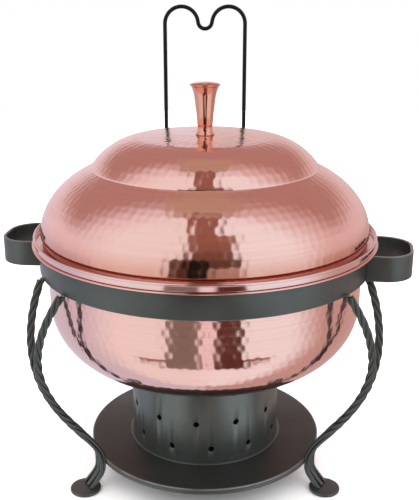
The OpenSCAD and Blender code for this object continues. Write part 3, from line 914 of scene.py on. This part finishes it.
class KETTLE_OT_housing(bpy.types.Operator):
    """Model the perforated burner housing and its locating ring"""

    bl_idname = "kettle.housing"
    bl_label = "Burner housing"

    def execute(self, context):
        sheet, holes, hole_r = 0.0015, 12, 0.003
        rows = ((0.21, 4.6), (0.56, -6.5))  # share of the height, turn in degrees
        # The housing's coat, also used on its foot ring, is a lighter copy of the iron: a painted
        # highlight.
        coat = iron_finish("housing_coat", edges=(HOUSING_TOP,), painted_light_tone=1.45)
        wall = rounded_bar(HOUSING_R - sheet, HOUSING_R, HOUSING_LOW, HOUSING_TOP, 0.0005, 2)
        housing = turned("housing_wall", wall, 240)
        drills = []
        for share, turn in rows:
            z = HOUSING_LOW + (HOUSING_TOP - HOUSING_LOW) * share
            for k in range(holes):
                a = math.radians(360 / holes * k + turn)
                clear_selection()
                bpy.ops.mesh.primitive_cylinder_add(
                    vertices=32, radius=hole_r, depth=0.012, rotation=(0, math.pi / 2, a),
                    location=at_turn(a, HOUSING_R, z))
                drills.append(bpy.context.object)
        drill = join(drills, "drills")
        bpy.ops.object.transform_apply(location=True, rotation=True, scale=True)
        clear_selection()
        apply(housing, "BOOLEAN", object=drill, operation="DIFFERENCE", solver="EXACT")
        bpy.data.objects.remove(drill)
        round_edges(housing, 0.00025, 2)
        dress(housing, "stand", "wrought_iron", coat, "burner_housing")
        bar = rounded_bar(HOUSING_R - 0.0003, SEAT_R, PLATE_TOP - 0.0002, SEAT_TOP, 0.0004)
        seat = turned("housing_foot_ring", bar, 192)
        dress(seat, "stand", "wrought_iron", coat, "housing_seat_ring")
        return {"FINISHED"}


class KETTLE_OT_holder(bpy.types.Operator):
    """Model the bent wire that holds the lid, and its two sockets"""

    bl_idname = "kettle.holder"
    bl_label = "Lid holder"

    def execute(self, context):
        coat = wire_finish()
        r, hump_r, notch_r, drop = 0.00225, 0.019, 0.008, 0.0245
        leg_x, y = WIRE_HALF - r, WIRE_MIDDLE.y
        hump = (leg_x - hump_r, WIRE_TOP - r - hump_r)
        notch = (0.0, hump[1] + hump_r - drop + notch_r)
        span = math.dist(hump, notch)
        flank = (90 - math.degrees(math.asin((hump_r + notch_r) / span))
                 + math.degrees(math.atan2(notch[1] - hump[1], hump[0])))
        half = ([(-leg_x, WIRE_LOW), (-leg_x, WIRE_LOW + 0.05), (-leg_x, hump[1] - 0.02)]
                + arc((-hump[0], hump[1]), (hump_r, hump_r), 180, flank, 26)
                + arc(notch, (notch_r, notch_r), 180 + flank, 270, 18))
        line = half + [(-x, z) for x, z in reversed(half[:-1])]
        wire = bent_rod("holder_wire_rod", [(x, y, z) for x, z in line], r, 7)
        round_edges(wire, 0.0006, 2, 60)
        dress(wire, "holder", "black_wire", coat, "holder_wire", angle=60)
        tube_r, bore_r, floor, edge, lead_in = 0.00453, 0.00233, 0.003, 0.0004, 0.0003
        tall = SOCKET_TOP - SOCKET_LOW
        section = ((0, 0), (tube_r - edge, 0), (tube_r, edge), (tube_r, tall - edge),
                   (tube_r - edge, tall), (bore_r + lead_in, tall), (bore_r, tall - lead_in),
                   (bore_r, floor), (0, floor))
        web_end = y - AXIS_Y - tube_r * 0.7
        band_y = math.sqrt(BAND_R ** 2 - leg_x ** 2) - 0.0006
        for name, side in (("left", -1), ("right", 1)):
            x = side * leg_x
            tube = start_outline("socket", (x, y, SOCKET_LOW))
            extrude_to([(r_out, 0, z) for r_out, z in section])
            bpy.ops.mesh.select_all(action="SELECT")
            bpy.ops.mesh.spin(steps=48, angle=math.tau, center=(x, y, 0), axis=(0, 0, 1))
            close_and_turn_out()
            clear_selection()
            bpy.ops.mesh.primitive_cube_add(size=1, location=(0, 0, 0))
            web = bpy.context.object
            bpy.ops.object.mode_set(mode="EDIT")
            stretch_and_move((2 * r, web_end - band_y, tall),
                             (x, AXIS_Y + (web_end + band_y) / 2, (SOCKET_TOP + SOCKET_LOW) / 2))
            round_edges(web, 0.0004, 2, 30)
            socket = join([tube, web], "holder_socket_" + name + "_tube")
            dress(socket, "stand", "black_wire", coat, "holder_socket_" + name)
        return {"FINISHED"}


class KETTLE_OT_burner(bpy.types.Operator):
    """Finish the fuel can, its fuel and lid, and the screw and washer of the knob"""

    bl_idname = "kettle.burner"
    bl_label = "Fuel can and fixings"

    def execute(self, context):
        tin = steel_finish("can_tin", tuple(context.scene.kettle_metal.tin), 0.24, 700.0)
        steel = steel_finish("screw_steel", (0.62, 0.61, 0.60), 0.20, 2400.0)
        finishes = {"fuel_can": tin, "fuel_can_lid": tin, "fuel_gel": gel_finish(),
                    "knob_screw": steel, "knob_washer": steel}
        for node, material in finishes.items():
            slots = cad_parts[node].data.materials
            slots.clear()
            slots.append(material)
        return {"FINISHED"}


class KETTLE_OT_stage(bpy.types.Operator):
    """Set the table, the light round it and the camera"""

    bl_idname = "kettle.stage"
    bl_label = "Stage"

    def floor(self):
        clear_selection()
        bpy.ops.mesh.primitive_plane_add(size=1, location=(0, 0, 0))
        table = bpy.context.object
        table.name = table.data.name = "table_top"
        bpy.ops.object.mode_set(mode="EDIT")
        stretch_and_move((3.2, 3.2, 1), (0, 1.25, 0))
        paint = Finish("white_table")
        cloth = paint.noise(paint.place, 40.0, 2.0)
        surface = paint.finish(Base_Color=paint.mix(cloth, (0.93, 0.93, 0.93), (0.96, 0.96, 0.96)),
                               Roughness=0.75)
        table.data.materials.append(surface)
        table.visible_glossy = False

    def walls(self, sizes):
        """White walls in front, a dim room behind, and the gap where the camera stands."""
        world = bpy.data.worlds.new("studio")
        bpy.context.scene.world = world
        p = Paint(world)
        x, y, z = p.split(p.node("TexCoord", output=0))
        angle = p.node("Math", {"operation": "ARCTAN2"}, {0: x, 1: y * -1.0}) * (180 / math.pi)
        rise = p.node("Math", {"operation": "ARCSINE"}, {0: z}) * (180 / math.pi)
        bright = sizes.walls
        # The side walls, darker below the table, and the lit walls in front of them
        low = p.fade(rise, -15, 0)
        left_side = p.mix(low, (0.84, 0.77, 0.81), (0.68, 0.69, 0.80))
        right_side = p.mix(low, (0.77, 0.64, 0.63), (0.58, 0.43, 0.40))
        left = p.mix(p.fade(angle, -100, -62),
                     (0.93 * bright, 0.96 * bright, 0.95 * bright), left_side)
        right = p.mix(p.step(angle, 60, 96), (0.95 * bright, 1.05 * bright, 1.09 * bright),
                      right_side)
        sky = p.mix(p.step(angle, -20, 20), left, right)
        # The dim room behind, a dark beam overhead and the table's edge in front
        behind = p.step(y, -0.04, 0.40) * p.step(rise, 8, 30)
        sky = p.mix(behind, sky, tuple(sizes.back))
        beam = p.fade(abs(x), 0.22, 0.27) * p.step(rise, 58, 70) * p.step(y, -0.15, 0.02)
        sky = p.mix(beam, sky, (0.52, 0.38, 0.29))
        edge = p.fade(abs(angle), 50, 54) * p.fade(abs(rise + 38), 4.0, 5.0)
        sky = p.mix(edge, sky, (0.34, 0.17, 0.13))
        # The gap where the camera stands, narrower towards its top
        narrow = p.step(rise, 52, 60)
        to_left = p.step(rise, 13, 28, 0.40, 0.17) - narrow * 0.05
        to_right = p.step(rise, 13, 28, 0.40, 0.29) - narrow * 0.17
        gap = (p.step(x + to_left, -0.02, 0.01) * p.fade(x - to_right, -0.01, 0.02)
               * p.fade(y, -0.04, 0.0) * p.step(rise, -52, -50))
        # In the gap: a black core, brown and beige beside it, and the floor below
        core = p.fade(abs(angle + 5.2), 6.2, 7.4) * p.fade(rise, 12, 26)
        brown = p.mix(p.step(rise, 5, 50), (0.11, 0.055, 0.035), (0.30, 0.13, 0.09))
        beige = p.fade(abs(angle - 14), 9, 13) * p.fade(rise, 2, 6)
        dark = p.mix(beige * 0.8, brown, (0.60, 0.50, 0.44))
        dark = p.mix(core, dark, (0.008, 0.008, 0.007))
        below = p.mix(p.step(angle, -6, -2), (0.24, 0.20, 0.17), (0.95, 0.86, 0.88))
        below = p.mix(p.step(angle, 5, 9), below, (0.11, 0.035, 0.025))
        dark = p.mix(p.fade(rise, -20, -15), dark, below)
        seen = p.mix(gap, sky, dark)
        camera = p.node("LightPath")
        colour = p.mix(camera, seen, (1.0, 1.0, 1.0))
        back = p.node("Background", {}, {"Color": colour, "Strength": 1.0})
        p.node("OutputWorld", {}, {0: back})

    def execute(self, context):
        sizes = context.scene.kettle_stage
        self.floor()
        self.walls(sizes)
        bpy.ops.object.light_add(type="SUN", location=(0, 0, 1.9))
        light = context.object
        light.name = "overhead_light"
        light.data.angle, light.data.energy = math.radians(130), sizes.overhead
        light.visible_glossy = False
        bpy.ops.object.camera_add(location=(0, AXIS_Y - sizes.distance, sizes.height),
                                  rotation=(math.pi / 2 - sizes.tilt, 0, 0))
        camera = context.object
        camera.name = "camera"
        camera.data.sensor_width, camera.data.lens = 36, sizes.lens
        camera.data.shift_x = 0.009
        camera.data.clip_start = 0.01
        context.scene.camera = camera
        context.scene.view_settings.view_transform = "Standard"
        return {"FINISHED"}


class KETTLE_PT_panel(bpy.types.Panel):
    """Buttons and sizes for the kettle"""

    bl_label = "Soup kettle"
    bl_idname = "KETTLE_PT_panel"
    bl_space_type = "VIEW_3D"
    bl_region_type = "UI"
    bl_category = "Kettle"

    def draw(self, context):
        for operator in OPERATORS:
            self.layout.operator(operator.bl_idname)
        for group, settings in SETTINGS.items():
            box = self.layout.box()
            for name in settings.__annotations__:
                box.prop(getattr(context.scene, group), name)


OPERATORS = (KETTLE_OT_stage, KETTLE_OT_lid, KETTLE_OT_bowl, KETTLE_OT_pan, KETTLE_OT_knob,
             KETTLE_OT_band, KETTLE_OT_handles, KETTLE_OT_legs, KETTLE_OT_base,
             KETTLE_OT_housing, KETTLE_OT_holder, KETTLE_OT_burner)
SETTINGS = {"kettle_copper": KettleCopperSettings, "kettle_metal": KettleMetalSettings,
            "kettle_stand": KettleStandSettings, "kettle_stage": KettleStageSettings}
CLASSES = (*SETTINGS.values(), *OPERATORS, KETTLE_PT_panel)


def register():
    for c in CLASSES:
        bpy.utils.register_class(c)
    for name, settings in SETTINGS.items():
        setattr(bpy.types.Scene, name, PointerProperty(type=settings))


def unregister():
    for name in SETTINGS:
        delattr(bpy.types.Scene, name)
    for c in reversed(CLASSES):
        bpy.utils.unregister_class(c)


def main():
    """Registers the add-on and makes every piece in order."""
    register()
    for operator in OPERATORS:
        group, name = operator.bl_idname.split(".")
        getattr(getattr(bpy.ops, group), name)()


if __name__ == "__main__":
    main()
